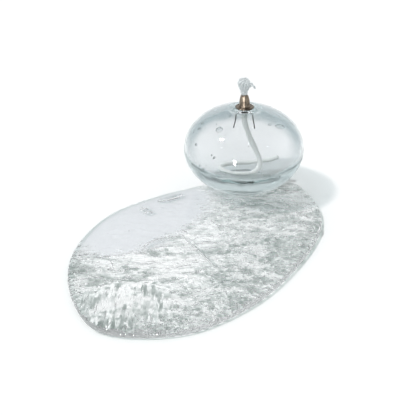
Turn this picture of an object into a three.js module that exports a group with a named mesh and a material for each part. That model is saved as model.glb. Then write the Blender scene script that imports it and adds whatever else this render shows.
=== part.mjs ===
// Oil lamp on a pebble-shaped glass plate.
//
// A flattened round bowl of thick hand-blown glass holds the oil. A brass wick holder drops into
// its neck and is kept there by two spring legs. A braided cotton wick runs from a loop on the
// bowl's floor, up through the holder, to a frayed tuft. The lamp stands near one end of a
// thick glass plate.
//
// Millimetres, +Z up. The origin is the middle of the plate's flat underside, and +Y runs along
// the plate towards the lamp.

import * as THREE from 'three';

// ---------------------------------------------------------------------------------------------
// Driving dimensions
// ---------------------------------------------------------------------------------------------

// Glass plate
const plateLength = 280;
const plateWidth = 179;
const plateThickness = 8;
const plateRimRound = 3.4;

// Where the lamp stands, in from the plate's +Y end and its +X side, and how the wick holder is
// turned in the neck
const lampEndInset = 36;
const lampSideInset = 108.5;
const holderTurnDeg = 34;

// Glass bowl
const bowlRadius = 55;
const bowlHeightBelow = 38;
const bowlHeightAbove = 39.7;
const footRadius = 22;
const footWidth = 4;
const footHollow = 1.2;
const bowlWall = 3;
const bowlFloor = 10;
const neckDepth = 6.4;
const neckLipWidth = 2.4;
const neckSink = 0.8;
const dimpleDepth = 2.1;
const dimpleWidth = 3.7;

// Wick
const wickRadius = 2.5;
const wickInHolderRadius = 2.3;
const tuftHeight = 16;
const tuftRadius = 6.3;

// Wick holder
const collarOverlap = 0.98;
const collarThickness = 0.7;
const collarDish = 0.3;
const bellHeight = 10.9;
const bellFootWidth = 2.1;
const bellMouthWall = 0.5;
const bellWall = 0.6;
const sleeveSlack = 0.5;
const sleeveWall = 0.8;
const sleeveLength = 8;
const clipWall = 0.6;
const clipHeight = 3.5;
const legRadius = 0.45;
const legLength = 19.6;
const legSplayDeg = 13.5;

// Clearances: between pieces that touch, and between the spring legs and the neck's bore
const gap = 0.3;
const legClearance = 0.75;

// Facets
const bowlSegments = 48;
const smallSegments = 28;
const wickSides = 10;

// ---------------------------------------------------------------------------------------------
// Fits, worked out from the wick outwards. Holder heights are above the collar's rim.
// ---------------------------------------------------------------------------------------------

const radians = THREE.MathUtils.degToRad;
const legSlope = Math.tan(radians(legSplayDeg));

const wickHoleRadius = wickInHolderRadius + gap;
const bellFootRadius = wickHoleRadius + bellMouthWall + bellFootWidth;
const collarHoleRadius = wickHoleRadius + bellWall;
const collarTopZ = collarDish + collarThickness;
const bellFootZ = collarTopZ + gap;
const bellTopZ = bellFootZ + bellHeight;

const sleeveInner = wickRadius + sleeveSlack;
const sleeveOuter = sleeveInner + sleeveWall;
const sleeveTopZ = collarDish - gap;
const sleeveMouthZ = sleeveTopZ - sleeveLength;
const wickJoinZ = sleeveMouthZ + 2;
const clipInner = sleeveOuter + gap;
const clipOuter = clipInner + clipWall;
const clipTopZ = sleeveTopZ - gap;
const clipFootZ = clipTopZ - clipHeight;

const legCentre = clipOuter + gap + legRadius;
const legBendZ = clipFootZ + legRadius;
const legAtNeckFoot = legCentre + legRadius + (legBendZ + gap + neckDepth) * legSlope;
const neckBoreRadius = legAtNeckFoot + legClearance;
const collarRadius = neckBoreRadius + collarOverlap;

const bowlInnerRadius = bowlRadius - bowlWall;
const bowlInnerDepth = bowlHeightBelow - bowlFloor;
const equatorZ = bowlHeightBelow;
const neckLipHeight = bowlHeightAbove - neckSink;
const lipZ = equatorZ + neckLipHeight;
const lampX = plateWidth / 2 - lampSideInset;
const lampY = plateLength / 2 - lampEndInset;

// ---------------------------------------------------------------------------------------------
// Shape helpers
// ---------------------------------------------------------------------------------------------

// A solid of revolution about Z. The profile is [radius, height] pairs that start and end on the
// axis, or close on themselves, with the material on the left of the direction of travel.
function turned(profile, segments, closes = false) {
  const points = profile.map(([r, z]) => new THREE.Vector2(r, z));
  if (closes) points.push(points[0].clone());
  const geometry = new THREE.LatheGeometry(points, segments);
  geometry.rotateX(Math.PI / 2);
  return geometry;
}

// Points on a quarter ellipse about a centre height, from one radius to another.
function ellipseArc(radius, depth, centreZ, fromRadius, toRadius, steps) {
  const from = Math.acos(fromRadius / radius);
  const to = Math.acos(toRadius / radius);
  const points = [];
  for (let i = 0; i <= steps; i += 1) {
    const angle = from + ((to - from) * i) / steps;
    points.push([radius * Math.cos(angle), centreZ + depth * Math.sin(angle)]);
  }
  return points;
}

// The height that a quarter ellipse needs at the axis to pass through a given radius and height.
function depthThrough(radius, atRadius, height) {
  return height / Math.sqrt(1 - (atRadius / radius) ** 2);
}

// A tube of round section along a curve, closed at both ends.
function tube(curve, radius, sides, steps) {
  const section = new THREE.Shape();
  for (let i = 0; i < sides; i += 1) {
    const angle = (2 * Math.PI * i) / sides;
    const x = radius * Math.cos(angle);
    const y = radius * Math.sin(angle);
    if (i === 0) section.moveTo(x, y);
    else section.lineTo(x, y);
  }
  section.closePath();
  return new THREE.ExtrudeGeometry(section, { steps, extrudePath: curve, bevelEnabled: false });
}

function piece(name, geometry, material) {
  const mesh = new THREE.Mesh(geometry, material);
  mesh.name = name;
  return mesh;
}

function clearGlass() {
  return new THREE.MeshStandardMaterial({
    color: 0xdfeae6,
    roughness: 0.05,
    metalness: 0,
    transparent: true,
    opacity: 0.45,
  });
}

function agedBrass() {
  return new THREE.MeshStandardMaterial({ color: 0x9a8264, roughness: 0.3, metalness: 1 });
}

function springSteel() {
  return new THREE.MeshStandardMaterial({ color: 0x4c4a48, roughness: 0.35, metalness: 1 });
}

function cotton() {
  return new THREE.MeshStandardMaterial({ color: 0xeeeeea, roughness: 0.9, metalness: 0 });
}

// ---------------------------------------------------------------------------------------------
// Plate
// ---------------------------------------------------------------------------------------------

// The pebble's outline as [x, y] in halves of the width and the length. It is fuller on +X, and
// its -X side runs down to the blunt corner under the lamp.
const pebble = [
  [0.16, 1],
  [0.58, 0.83],
  [0.86, 0.55],
  [1, 0],
  [0.95, -0.42],
  [0.7, -0.79],
  [0.16, -1],
  [-0.31, -0.88],
  [-0.8, -0.54],
  [-1, -0.06],
  [-0.84, 0.33],
  [-0.61, 0.61],
  [-0.37, 0.88],
];

function makePlate() {
  const corners = pebble.map(
    ([x, y]) => new THREE.Vector3((x * plateWidth) / 2, (y * plateLength) / 2, 0),
  );
  const rim = new THREE.CatmullRomCurve3(corners, true, 'centripetal');
  const outline = new THREE.Shape();
  const steps = 72;
  for (let i = 0; i < steps; i += 1) {
    const point = rim.getPoint(i / steps);
    if (i === 0) outline.moveTo(point.x, point.y);
    else outline.lineTo(point.x, point.y);
  }
  outline.closePath();
  const geometry = new THREE.ExtrudeGeometry(outline, {
    depth: plateThickness - 2 * plateRimRound,
    bevelEnabled: true,
    bevelThickness: plateRimRound,
    bevelSize: plateRimRound,
    bevelOffset: -plateRimRound,
    bevelSegments: 4,
    curveSegments: 1,
  });
  geometry.translate(0, 0, plateRimRound);
  return piece('plate', geometry, clearGlass());
}

// ---------------------------------------------------------------------------------------------
// Bowl
// ---------------------------------------------------------------------------------------------

function makeBowl() {
  const lipOuter = neckBoreRadius + neckLipWidth;
  const lipRound = neckLipWidth / 4;
  const neckFoot = neckBoreRadius + lipRound;
  const dimpleZ = lipZ + neckSink - dimpleDepth;
  const dimpleRadius = lipOuter + dimpleWidth;
  const outerDepth = depthThrough(bowlRadius, footRadius, bowlHeightBelow);
  const innerDepthAbove = depthThrough(bowlInnerRadius, neckFoot, neckLipHeight - neckDepth);

  const foot = [
    [0, footHollow],
    [footRadius - footWidth - footHollow, footHollow],
    [footRadius - footWidth, 0],
    [footRadius, 0],
  ];
  const belly = ellipseArc(bowlRadius, -outerDepth, equatorZ, footRadius, bowlRadius, 9).slice(1);
  const shoulder = ellipseArc(
    bowlRadius, bowlHeightAbove, equatorZ, bowlRadius, dimpleRadius + neckLipWidth, 10,
  ).slice(1);
  const lip = [
    [dimpleRadius, dimpleZ],
    [lipOuter + lipRound, dimpleZ],
    [lipOuter, lipZ - lipRound],
    [lipOuter - lipRound, lipZ],
    [neckBoreRadius + lipRound, lipZ],
    [neckBoreRadius, lipZ - lipRound],
  ];
  const ceiling = ellipseArc(
    bowlInnerRadius, innerDepthAbove, equatorZ, neckFoot, bowlInnerRadius, 10,
  );
  const neck = [[neckBoreRadius, ceiling[0][1] + lipRound]];
  const floor = ellipseArc(
    bowlInnerRadius, -bowlInnerDepth, equatorZ, bowlInnerRadius, 0, 9,
  ).slice(1);
  floor[floor.length - 1][0] = 0;
  const profile = [...foot, ...belly, ...shoulder, ...lip, ...neck, ...ceiling, ...floor];
  return piece('glass_bowl', turned(profile, bowlSegments), clearGlass());
}

// ---------------------------------------------------------------------------------------------
// Wick holder, in heights above the collar's rim
// ---------------------------------------------------------------------------------------------

function makeCollar() {
  const crown = bellFootRadius + gap;
  const slope = (crown + collarRadius) / 2;
  const profile = [
    [collarHoleRadius, collarDish],
    [crown, collarDish],
    [slope, collarDish / 3],
    [collarRadius - collarThickness / 3, 0],
    [collarRadius, collarThickness / 2],
    [collarRadius - collarThickness / 3, collarThickness],
    [slope, collarDish / 3 + collarThickness],
    [crown, collarTopZ],
    [collarHoleRadius, collarTopZ],
  ];
  return piece('collar_disc', turned(profile, smallSegments, true), agedBrass());
}

function makeBell() {
  const mouth = wickHoleRadius + bellMouthWall;
  const skirt = bellFootRadius - mouth;
  const outside = [
    [bellFootRadius, 0],
    [mouth + skirt * 0.88, bellHeight * 0.12],
    [mouth + skirt * 0.82, bellHeight * 0.4],
    [mouth + skirt * 0.62, bellHeight * 0.7],
    [mouth + skirt * 0.36, bellHeight * 0.88],
    [mouth, bellHeight],
  ];
  const inside = outside.slice(0, -1).map(([r, z]) => [r - bellWall, Math.max(z - 0.1, 0)]);
  const hole = [[wickHoleRadius, bellHeight]];
  inside[inside.length - 1][0] = Math.max(inside[inside.length - 1][0], wickHoleRadius);
  const profile = [...outside, ...hole, ...inside.reverse()];
  const geometry = turned(profile, smallSegments, true);
  geometry.translate(0, 0, bellFootZ);
  return piece('wick_bell', geometry, agedBrass());
}

function makeSleeve() {
  const profile = [
    [sleeveInner, sleeveMouthZ],
    [sleeveOuter, sleeveMouthZ],
    [sleeveOuter, sleeveTopZ],
    [sleeveInner, sleeveTopZ],
  ];
  return piece('wick_sleeve', turned(profile, smallSegments, true), springSteel());
}

function makeClipRing() {
  const profile = [
    [clipInner, clipFootZ],
    [clipOuter, clipFootZ],
    [clipOuter, clipTopZ],
    [clipInner, clipTopZ],
  ];
  return piece('clip_ring', turned(profile, smallSegments, true), springSteel());
}

// One spring leg: straight beside the clip ring, then splayed outwards. side is 1 or -1.
function makeLeg(name, side) {
  const tipZ = -legLength;
  const route = new THREE.CurvePath();
  const top = new THREE.Vector3(side * legCentre, 0, clipTopZ);
  const bend = new THREE.Vector3(side * legCentre, 0, legBendZ);
  const tip = new THREE.Vector3(side * (legCentre + (legBendZ - tipZ) * legSlope), 0, tipZ);
  route.add(new THREE.LineCurve3(top, bend));
  route.add(new THREE.LineCurve3(bend, tip));
  return piece(name, tube(route, legRadius, 8, 8), springSteel());
}

// ---------------------------------------------------------------------------------------------
// Wick
// ---------------------------------------------------------------------------------------------

// The wick inside the holder and the frayed tuft above it.
function makeWickTip() {
  const waist = wickRadius * 1.05;
  const profile = [
    [0, wickJoinZ],
    [wickInHolderRadius, wickJoinZ],
    [wickInHolderRadius, bellTopZ + gap],
    [waist, bellTopZ + tuftHeight * 0.08],
    [waist * 1.05, bellTopZ + tuftHeight * 0.25],
    [tuftRadius * 0.68, bellTopZ + tuftHeight * 0.4],
    [tuftRadius * 0.92, bellTopZ + tuftHeight * 0.55],
    [tuftRadius, bellTopZ + tuftHeight * 0.75],
    [tuftRadius * 0.86, bellTopZ + tuftHeight * 0.9],
    [tuftRadius * 0.5, bellTopZ + tuftHeight * 0.98],
    [0, bellTopZ + tuftHeight],
  ];
  return piece('wick_tip', turned(profile, 20), cotton());
}

// The wick's free length: it falls from the sleeve, bows out to one side and lies in an open loop
// on the bowl's floor. Points are [side, back, rise] in the turned frame of the wick holder: side
// and back from the lamp's axis, and the rise off the floor as a share of the way up to the top.
const wickRoute = [
  [0, 0, 1],
  [0, 0, 0.913],
  [2.4, 0, 0.773],
  [6.2, -0.5, 0.614],
  [10.4, -1.1, 0.461],
  [13.8, -2, 0.305],
  [15.1, -3.2, 0.188],
  [13.2, -5.2, 0.083],
  [7.6, -7.2, 0.02],
  [-0.6, -7.8, 0],
  [-9.4, -6.6, 0],
  [-17, -3, 0.004],
  [-20.9, 3, 0.008],
  [-20, 9.8, 0.003],
  [-14.6, 15.8, 0.002],
  [-6.2, 19.4, 0.002],
  [3.4, 21.2, 0],
  [13.2, 21.6, 0],
  [23, 20.8, 0],
  [32.6, 18.6, 0],
];

// The height of the wick's centre line where it lies on the bowl's floor.
function wickAtRest(radius) {
  const share = radius / bowlInnerRadius;
  const dip = Math.sqrt(1 - share ** 2);
  const slope = (bowlInnerDepth * share) / (bowlInnerRadius * dip);
  return equatorZ - bowlInnerDepth * dip + (wickRadius + gap) * Math.hypot(1, slope);
}

function makeWickTail() {
  const topZ = lipZ + wickJoinZ;
  const points = wickRoute.map(([side, back, rise]) => {
    const restZ = wickAtRest(Math.hypot(side, back));
    return new THREE.Vector3(side, back, restZ + (topZ - restZ) * rise);
  });
  const curve = new THREE.CatmullRomCurve3(points, false, 'centripetal');
  return piece('wick_tail', tube(curve, wickRadius, wickSides, 30), cotton());
}

// ---------------------------------------------------------------------------------------------
// Assembly
// ---------------------------------------------------------------------------------------------

const holder = new THREE.Group();
holder.position.z = lipZ + gap;
holder.add(
  makeCollar(),
  makeBell(),
  makeSleeve(),
  makeClipRing(),
  makeLeg('spring_leg_right', 1),
  makeLeg('spring_leg_left', -1),
  makeWickTip(),
);

const turnedParts = new THREE.Group();
turnedParts.rotation.z = radians(holderTurnDeg);
turnedParts.add(holder, makeWickTail());

const lamp = new THREE.Group();
lamp.position.set(lampX, lampY, plateThickness + gap);
lamp.add(makeBowl(), turnedParts);

const group = new THREE.Group();
group.add(makePlate(), lamp);

export default group;
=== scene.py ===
import math

import bmesh
import bpy
from bpy.props import FloatProperty, FloatVectorProperty, IntProperty, PointerProperty
from bpy.props import StringProperty
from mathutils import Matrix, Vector, noise


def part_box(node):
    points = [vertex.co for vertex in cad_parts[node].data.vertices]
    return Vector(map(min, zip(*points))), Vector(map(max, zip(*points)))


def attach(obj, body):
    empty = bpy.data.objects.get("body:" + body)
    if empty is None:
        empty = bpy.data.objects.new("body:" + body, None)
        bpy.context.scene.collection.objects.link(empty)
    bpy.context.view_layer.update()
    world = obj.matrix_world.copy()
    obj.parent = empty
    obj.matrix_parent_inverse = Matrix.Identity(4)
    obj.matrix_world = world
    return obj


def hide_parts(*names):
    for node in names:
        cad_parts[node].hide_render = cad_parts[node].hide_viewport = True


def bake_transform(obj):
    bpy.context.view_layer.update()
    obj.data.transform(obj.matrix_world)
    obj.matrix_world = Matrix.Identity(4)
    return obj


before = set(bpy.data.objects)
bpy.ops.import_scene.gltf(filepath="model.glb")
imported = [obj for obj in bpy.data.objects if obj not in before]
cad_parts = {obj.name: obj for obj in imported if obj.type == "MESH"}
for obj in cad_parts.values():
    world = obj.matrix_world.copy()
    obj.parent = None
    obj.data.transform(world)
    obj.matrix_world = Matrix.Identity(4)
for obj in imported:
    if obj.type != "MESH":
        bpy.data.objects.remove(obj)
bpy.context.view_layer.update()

bl_info = {
    "name": "Oil Lamp on a Glass Plate",
    "version": (1, 0, 0),
    "blender": (4, 5, 0),
    "location": "3D View > Sidebar > Oil Lamp",
    "description": "Builds a hand-blown glass oil lamp and its plate round the packed frame",
    "category": "Add Mesh",
}

MM = 0.001


# ---------------------------------------------------------------------------------------------
# Places taken from the frame
# ---------------------------------------------------------------------------------------------

def middle(node):
    """The middle of a node's box."""
    low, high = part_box(node)
    return (Vector(low) + Vector(high)) / 2


def lowest(node):
    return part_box(node)[0][2]


def highest(node):
    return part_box(node)[1][2]


def half_width(node):
    low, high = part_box(node)
    return (high[0] - low[0]) / 2


LAMP_X, LAMP_Y = middle("wick_sleeve").xy
FOOT_Z = lowest("glass_bowl")
LIP_Z = highest("glass_bowl")
PLATE_TOP_Z = highest("plate")
COLLAR_Z = lowest("collar_disc")
SLEEVE_MOUTH_Z = lowest("wick_sleeve")
BELL_FOOT_Z = lowest("wick_bell")
BELL_TOP_Z = highest("wick_bell")
WICK_JOIN_Z = lowest("wick_tip")
WICK_TOP_Z = highest("wick_tip")


# ---------------------------------------------------------------------------------------------
# Sizes and colours that a user would change
# ---------------------------------------------------------------------------------------------

def length_prop(name, description, default):
    return FloatProperty(name=name, description=description, default=default, unit="LENGTH",
                         precision=5)


def colour_prop(name, description, default):
    return StringProperty(name=name, description=description + ", as an sRGB hex value",
                          default=default)


class PlateSettings(bpy.types.PropertyGroup):
    rim_round: length_prop("Rim rounding", "Radius of the fire-polished rim", 3.4 * MM)
    rim_droop: length_prop("Rim droop", "How far the top falls away at the rim", 2.2 * MM)
    ripple: length_prop("Ripple", "Height of the ripples in the plate's top", 0.34 * MM)
    ripple_width: length_prop("Ripple width", "Distance between two ripples", 11 * MM)
    underside_ripple: length_prop("Underside ripple", "Height of the waves underneath", 0.3 * MM)
    seeds: FloatProperty(name="Seeds", description="Tiny bubbles in a square metre", default=2200)


class BowlSettings(bpy.types.PropertyGroup):
    wall: length_prop("Wall", "Thickness of the glass at the belly", 3 * MM)
    floor: length_prop("Floor", "Thickness of the glass at the bottom", 10 * MM)
    height_below: length_prop("Height below the belly", "From the foot to the widest ring", 38 * MM)
    neck_bore: length_prop("Neck bore", "Radius of the hole in the neck", 7.454 * MM)
    neck_depth: length_prop("Neck depth", "Depth of the neck's bore", 6.4 * MM)
    neck_lip: length_prop("Neck lip", "Width of the rolled lip", 2.4 * MM)
    neck_sink: length_prop("Neck sink", "How far the lip lies under the shoulder's top", 0.8 * MM)
    dimple: length_prop("Dimple", "How far the shoulder dips round the neck", 2.6 * MM)
    foot_radius: length_prop("Foot radius", "Radius of the ring that the bowl stands on", 22 * MM)
    wobble: length_prop("Wobble", "How far the hand-blown wall strays from round", 0.35 * MM)
    seeds: FloatProperty(name="Seeds", description="Tiny bubbles in a square metre", default=1500)


class HolderSettings(bpy.types.PropertyGroup):
    turn: FloatProperty(name="Turn", description="Turn of the holder in the neck", subtype="ANGLE",
                        default=math.radians(34))
    sheet: length_prop("Sheet", "Thickness of the spun brass", 0.7 * MM)
    collar_dish: length_prop("Collar dish", "How far the collar rises to the bell", 0.3 * MM)
    wire: length_prop("Wire", "Radius of the spring legs", 0.5 * MM)
    lean: FloatProperty(name="Lean", description="Slope of the hand-pressed bell", default=0.045)


class WickSettings(bpy.types.PropertyGroup):
    radius: length_prop("Radius", "Radius of the braid", 2.5 * MM)
    strand_relief: length_prop("Strand relief", "Height of a strand over the gaps", 0.32 * MM)
    strand_pitch: length_prop("Strand pitch", "Length of one crossing of the braid", 3.4 * MM)
    tuft_radius: length_prop("Tuft radius", "Half the width of the frayed tuft", 5.0 * MM)
    yarn: length_prop("Yarn", "Radius of one yarn of the frayed tuft", 1.05 * MM)
    yarns: IntProperty(name="Yarns", description="Yarns that the tuft frays into", default=10)
    fibres: FloatProperty(name="Fibres", description="Loose fibres on a square metre of yarn",
                          default=900000)


class FinishSettings(bpy.types.PropertyGroup):
    bowl_glass: colour_prop("Bowl glass", "Tint of 10 mm of the bowl's glass", "#fcfdfd")
    plate_glass: colour_prop("Plate glass", "Tint of 10 mm of the plate's glass", "#fdfdfd")
    brass: colour_prop("Brass", "Bright spun brass", "#978a7b")
    brass_tarnish: colour_prop("Brass tarnish", "Tarnish in the spun lines", "#574b42")
    steel: colour_prop("Spring steel", "Drawn spring steel", "#4a4846")
    bowl_skin: colour_prop("Bowl skin", "Grey of one passage through the wall's skin", "#f6f7f8")
    # Painted shade: the grey that the glass's colour turns at a glancing angle on the shoulder,
    # standing in for the darker room seen through it.
    bowl_edge_shade: colour_prop("Bowl edge", "Grey of a glancing passage through the wall", "#9aabaf")
    plate_skin: colour_prop("Plate skin", "Grey of one passage through the plate's skin", "#fdfefe")
    cotton: colour_prop("Cotton", "Bleached cotton of the braid", "#fcfcfa")
    # The tuft's cotton, set greyer than the braid's.
    frayed: colour_prop("Frayed cotton", "Handled cotton of the tuft", "#dde1e2")
    floor: colour_prop("Floor", "Plain pale floor", "#f7f8f8")


class StageSettings(bpy.types.PropertyGroup):
    aim: FloatVectorProperty(name="Aim", description="Point that the camera looks at",
                             subtype="TRANSLATION", default=(0.0008, 0.0159, 0.0285))
    distance: length_prop("Distance", "From the camera to the point it looks at", 0.7)
    azimuth: FloatProperty(name="Azimuth", description="Turn of the camera round the lamp",
                           subtype="ANGLE", default=math.radians(34))
    elevation: FloatProperty(name="Elevation", description="Height of the camera over the floor",
                             subtype="ANGLE", default=math.radians(28.5))
    view_angle: FloatProperty(name="View angle", description="Angle that the camera takes in",
                              subtype="ANGLE", default=math.radians(28))
    sun: FloatProperty(name="Key light", description="Strength of the key light", default=2.15)
    strip: FloatProperty(name="Strip light", description="Power of the strip light", default=9.0)
    sky: FloatProperty(name="Fill light", description="Strength of the even fill", default=0.36)


SETTINGS = (
    ("oil_lamp_plate", PlateSettings),
    ("oil_lamp_bowl", BowlSettings),
    ("oil_lamp_holder", HolderSettings),
    ("oil_lamp_wick", WickSettings),
    ("oil_lamp_finish", FinishSettings),
    ("oil_lamp_stage", StageSettings),
)


# ---------------------------------------------------------------------------------------------
# Curves and profiles
# ---------------------------------------------------------------------------------------------

def mix(a, b, share):
    return a + (b - a) * share


def smooth_step(low, high, value):
    """0 below low, 1 above high, and an even rise between them."""
    share = min(max((value - low) / (high - low), 0), 1)
    return share * share * (3 - 2 * share)


def curve_through(points, steps, closed=False):
    """Evenly spread points on a centripetal Catmull-Rom curve through the given ones."""
    points = [Vector(p) for p in points]
    if closed:
        padded = [points[-1], *points, points[0], points[1]]
    else:
        padded = [2 * points[0] - points[1], *points, 2 * points[-1] - points[-2]]
    dense = []
    for before, start, end, after in zip(padded, padded[1:], padded[2:], padded[3:]):
        first = math.sqrt((start - before).length)
        second = first + math.sqrt((end - start).length)
        third = second + math.sqrt((after - end).length)
        for i in range(24):
            t = mix(first, second, i / 24)
            a = before + (start - before) * (t / first)
            b = start + (end - start) * ((t - first) / (second - first))
            c = end + (after - end) * ((t - second) / (third - second))
            d = a + (b - a) * (t / second)
            e = b + (c - b) * ((t - first) / (third - first))
            dense.append(d + (e - d) * ((t - first) / (second - first)))
    dense.append(dense[0].copy() if closed else points[-1])
    return spread_evenly(dense, steps)


def spread_evenly(points, steps):
    """The same line with its points a fixed length apart."""
    reach = [0.0]
    for a, b in zip(points, points[1:]):
        reach.append(reach[-1] + (b - a).length)
    spread = []
    at = 0
    for i in range(steps + 1):
        want = reach[-1] * i / steps
        while at < len(points) - 2 and reach[at + 1] < want:
            at += 1
        span = reach[at + 1] - reach[at]
        share = (want - reach[at]) / span if span else 0
        spread.append(points[at].lerp(points[at + 1], share))
    return spread


def line_length(points):
    return sum((b - a).length for a, b in zip(points, points[1:]))


def arc(radius, depth, centre_z, start_radius, end_radius, steps):
    """Points [radius, height] on a quarter ellipse, from one radius to another."""
    start = math.acos(start_radius / radius)
    end = math.acos(end_radius / radius)
    points = []
    for i in range(steps + 1):
        angle = mix(start, end, i / steps)
        points.append((radius * math.cos(angle), centre_z + depth * math.sin(angle)))
    return points


def rounded(profile, steps, closed=False):
    """A [radius, height] profile drawn as one smooth curve."""
    points = curve_through([(r, 0, z) for r, z in profile], steps, closed)
    return [(max(p.x, 0), p.z) for p in points]


# ---------------------------------------------------------------------------------------------
# Meshes
# ---------------------------------------------------------------------------------------------

def add_object(name, mesh):
    piece = bpy.data.objects.new(name, mesh)
    bpy.context.scene.collection.objects.link(piece)
    return piece


def lofted(name, rings, ends, uv=False):
    """A mesh through rings of points. Its ends are "poles", "capped", "open" or "joined".

    With uv, the UV map holds metres along the rings' centres and the share of a turn.
    """
    shape = bmesh.new()
    sides = len(rings[0])
    rows = []
    for index, ring in enumerate(rings):
        last = index in (0, len(rings) - 1)
        if ends == "poles" and last:
            rows.append([shape.verts.new(ring[0])] * sides)
        else:
            rows.append([shape.verts.new(point) for point in ring])
    if ends == "joined":
        rows.append(rows[0])
    layer = shape.loops.layers.uv.new("UVMap") if uv else None
    centres = [sum(ring, Vector()) / sides for ring in rings]
    if ends == "joined":
        centres.append(centres[0])
    along = [0.0]
    for a, b in zip(centres, centres[1:]):
        along.append(along[-1] + (b - a).length)
    for row in range(len(rows) - 1):
        for side in range(sides):
            turn = (side + 1) % sides
            corners = [
                (rows[row][side], along[row], side),
                (rows[row][turn], along[row], side + 1),
                (rows[row + 1][turn], along[row + 1], side + 1),
                (rows[row + 1][side], along[row + 1], side),
            ]
            kept = []
            for corner in corners:
                if all(corner[0] is not other[0] for other in kept):
                    kept.append(corner)
            face = shape.faces.new([corner[0] for corner in kept])
            if layer:
                for loop, (_, distance, step) in zip(face.loops, kept):
                    loop[layer].uv = (distance, step / sides)
    if ends == "capped":
        for row in (rows[0], rows[-1]):
            shape.faces.new(row)
    for face in shape.faces:
        face.smooth = True
    bmesh.ops.recalc_face_normals(shape, faces=shape.faces)
    mesh = bpy.data.meshes.new(name)
    shape.to_mesh(mesh)
    shape.free()
    return add_object(name, mesh)


def turned(name, profile, sides, base_z, ends="joined", shift=None):
    """A solid of revolution round the lamp's axis; shift moves each point as it is placed."""
    rings = []
    for radius, height in profile:
        ring = []
        for side in range(sides):
            angle = 2 * math.pi * side / sides
            point = Vector((radius * math.cos(angle), radius * math.sin(angle), height))
            if shift:
                point += shift(point)
            ring.append(point + Vector((LAMP_X, LAMP_Y, base_z)))
        rings.append(ring)
    return lofted(name, rings, ends)


def tube(name, path, sides, radius_at, ends="poles", uv=True):
    """A tube along a path. radius_at takes metres along it and the share of a turn."""
    side = (path[1] - path[0]).orthogonal().normalized()
    rings = []
    along = 0.0
    for index, centre in enumerate(path):
        ahead = path[min(index + 1, len(path) - 1)]
        behind = path[max(index - 1, 0)]
        forward = (ahead - behind).normalized()
        side = (side - forward * side.dot(forward)).normalized()
        across = forward.cross(side)
        if index:
            along += (centre - path[index - 1]).length
        ring = []
        for step in range(sides):
            angle = 2 * math.pi * step / sides
            outwards = side * math.cos(angle) + across * math.sin(angle)
            ring.append(centre + outwards * radius_at(along, step / sides))
        rings.append(ring)
    if ends == "poles":
        rings.insert(0, [path[0]] * sides)
        rings.append([path[-1]] * sides)
    return lofted(name, rings, ends, uv)


def add_bubbles(piece, bubbles):
    """Adds closed hollows to a solid piece: their faces point into the hollow.

    Each bubble is its centre and its three half axes.
    """
    shape = bmesh.new()
    shape.from_mesh(piece.data)
    for centre, *axes in bubbles:
        made = bmesh.ops.create_uvsphere(shape, u_segments=24, v_segments=14, radius=1)
        for vert in made["verts"]:
            place = vert.co.copy()
            vert.co = centre + axes[0] * place.x + axes[1] * place.y + axes[2] * place.z
        faces = list({face for vert in made["verts"] for face in vert.link_faces})
        bmesh.ops.recalc_face_normals(shape, faces=faces)
        bmesh.ops.reverse_faces(shape, faces=faces)
        for face in faces:
            face.smooth = True
    shape.to_mesh(piece.data)
    shape.free()


def air_line(name, route, width, steps):
    """A thin hollow drawn out along a route, with its faces pointing into the hollow."""
    path = curve_through(route, steps)
    end = line_length(path)
    hollow = tube(
        name, path, 12,
        lambda along, share: width * max(1 - (2 * along / end - 1) ** 2, 0.01) ** 0.5, uv=False,
    )
    hollow.data.flip_normals()
    return hollow


def join(name, pieces):
    """Joins pieces into one mesh object with the first one's materials."""
    shape = bmesh.new()
    for piece in pieces:
        shape.from_mesh(piece.data)
    mesh = bpy.data.meshes.new(name)
    shape.to_mesh(mesh)
    shape.free()
    for material in pieces[0].data.materials:
        mesh.materials.append(material)
    for piece in pieces:
        bpy.data.objects.remove(piece)
    return add_object(name, mesh)


# ---------------------------------------------------------------------------------------------
# Nodes
# ---------------------------------------------------------------------------------------------

def linear(hex_colour):
    """An sRGB hex value as a linear colour."""
    channels = [int(hex_colour[i:i + 2], 16) / 255 for i in (1, 3, 5)]
    return (*(c / 12.92 if c <= 0.04045 else ((c + 0.055) / 1.055) ** 2.4 for c in channels), 1)


def add_node(tree, kind, settings=None, values=None, links=None):
    """Adds one node, with its settings, its inputs' values and the sockets that feed it."""
    node = tree.nodes.new(kind)
    for name, value in (settings or {}).items():
        setattr(node, name, value)
    for name, value in (values or {}).items():
        node.inputs[name].default_value = value
    for name, source in (links or {}).items():
        tree.links.new(source, node.inputs[name])
    return node


def small_bubble(tree):
    """A round hollow, faces inwards."""
    ball = add_node(
        tree, "GeometryNodeMeshUVSphere", values={"Segments": 8, "Rings": 5, "Radius": 1.0},
    )
    hollow = add_node(tree, "GeometryNodeFlipFaces", links={"Mesh": ball.outputs["Mesh"]})
    return hollow.outputs["Mesh"]


def curled_fibre(tree):
    """A thin fibre that stands up and curls over, one unit long."""
    bend = add_node(
        tree, "GeometryNodeCurveQuadraticBezier",
        values={
            "Resolution": 5, "Start": (0, 0, -0.1), "Middle": (0.15, 0.1, 0.8), "End": (0.8, 0.1, 0.7),
        },
    )
    section = add_node(
        tree, "GeometryNodeCurvePrimitiveCircle", values={"Resolution": 3, "Radius": 0.07},
    )
    fibre = add_node(
        tree, "GeometryNodeCurveToMesh", values={"Fill Caps": True},
        links={"Curve": bend.outputs["Curve"], "Profile Curve": section.outputs["Curve"]},
    )
    return fibre.outputs["Mesh"]


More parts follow.
